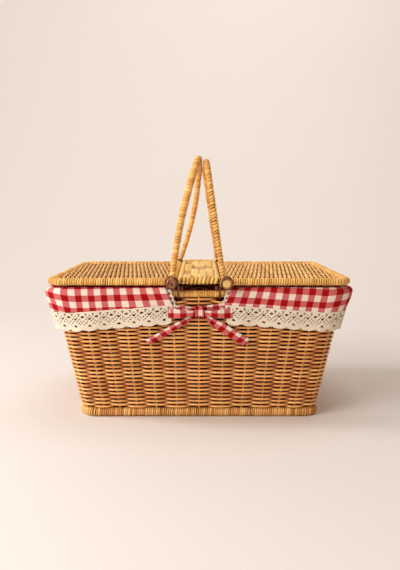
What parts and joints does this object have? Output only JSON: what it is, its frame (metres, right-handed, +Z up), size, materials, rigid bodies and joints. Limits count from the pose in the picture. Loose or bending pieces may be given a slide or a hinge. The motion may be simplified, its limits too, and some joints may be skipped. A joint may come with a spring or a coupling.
{
  "type": "picnic basket",
  "caption": "Tapered rectangular wicker picnic basket: hinged lids either side of a fixed bridge, swing handles, and a lace-edged gingham liner tied with bows.",
  "frame": {"origin": "on the floor under the middle of the basket", "axes": "+X along the lids, +Y from the bow seen in the picture towards the back, +Z up"},
  "size_m": [0.3994, 0.3226, 0.3539],
  "materials": {
    "cane": "satin varnish",
    "pale_cane": "satin varnish",
    "strip_cane": "gloss varnish",
    "rattan": "satin",
    "brown_wire": "satin brown coating",
    "gingham": "plain-woven cotton check",
    "lining": "plain-woven cotton check",
    "lace": "cotton lace"
  },
  "bodies": {
    "basket": {"foot_border": "cane", "base_panel": "cane", "woven_wall": "cane", "top_rim": "cane", "bridge_frame": "pale_cane", "bridge_strips": "strip_cane", "liner_pouch": "lining", "liner_skirt_left": "gingham", "lace_left": "lace", "liner_skirt_right": "gingham", "lace_right": "lace", "bridge_post_front_left": "rattan", "bow_loop_front_left": "gingham", "bow_tail_front_left": "gingham", "bow_strap_front_left": "gingham", "bridge_post_front_right": "rattan", "bow_loop_front_right": "gingham", "bow_tail_front_right": "gingham", "bow_strap_front_right": "gingham", "bow_knot_front": "gingham", "bridge_post_back_left": "rattan", "bow_loop_back_left": "gingham", "bow_tail_back_left": "gingham", "bow_strap_back_left": "gingham", "bridge_post_back_right": "rattan", "bow_loop_back_right": "gingham", "bow_tail_back_right": "gingham", "bow_strap_back_right": "gingham", "bow_knot_back": "gingham"},
    "lid_left": {"lid_border_left": "pale_cane", "lid_weave_left": "strip_cane", "hinge_peg_front_left": "rattan", "hinge_peg_back_left": "rattan", "handle_tie_front_left": "brown_wire", "handle_tie_back_left": "brown_wire"},
    "handle_left": {"handle_core_left": "rattan", "handle_binding_left": "pale_cane"},
    "lid_right": {"lid_border_right": "pale_cane", "lid_weave_right": "strip_cane", "hinge_peg_front_right": "rattan", "hinge_peg_back_right": "rattan", "handle_tie_front_right": "brown_wire", "handle_tie_back_right": "brown_wire"},
    "handle_right": {"handle_core_right": "rattan", "handle_binding_right": "pale_cane"},
    "hinge_loop_front_left": {"hinge_loop_front_left": "brown_wire"},
    "hinge_loop_front_right": {"hinge_loop_front_right": "brown_wire"},
    "hinge_loop_back_left": {"hinge_loop_back_left": "brown_wire"},
    "hinge_loop_back_right": {"hinge_loop_back_right": "brown_wire"}
  },
  "joints": [
    {"name": "lid_left_hinge", "type": "hinge", "parent": "basket", "child": "lid_left", "pos_m": [-0.035, 0, 0.19], "axis": [0, 1, 0], "range_deg": [0, 93]},
    {"name": "handle_left_pivot", "type": "hinge", "parent": "basket", "child": "handle_left", "pos_m": [-0.035, 0, 0.19], "axis": [0, 1, 0], "range_deg": [-93, 0]},
    {"name": "lid_right_hinge", "type": "hinge", "parent": "basket", "child": "lid_right", "pos_m": [0.035, 0, 0.19], "axis": [0, -1, 0], "range_deg": [0, 93]},
    {"name": "handle_right_pivot", "type": "hinge", "parent": "basket", "child": "handle_right", "pos_m": [0.035, 0, 0.19], "axis": [0, -1, 0], "range_deg": [-93, 0]},
    {"name": "hinge_loop_front_left_swing", "type": "hinge", "parent": "basket", "child": "hinge_loop_front_left", "pos_m": [-0.0271, -0.132, 0.174], "axis": [1, 0, 0], "range_deg": [-3, 3]},
    {"name": "hinge_loop_front_right_swing", "type": "hinge", "parent": "basket", "child": "hinge_loop_front_right", "pos_m": [0.0271, -0.132, 0.174], "axis": [1, 0, 0], "range_deg": [-3, 3]},
    {"name": "hinge_loop_back_left_swing", "type": "hinge", "parent": "basket", "child": "hinge_loop_back_left", "pos_m": [-0.0271, 0.132, 0.174], "axis": [1, 0, 0], "range_deg": [-3, 3]},
    {"name": "hinge_loop_back_right_swing", "type": "hinge", "parent": "basket", "child": "hinge_loop_back_right", "pos_m": [0.0271, 0.132, 0.174], "axis": [1, 0, 0], "range_deg": [-3, 3]}
  ]
}
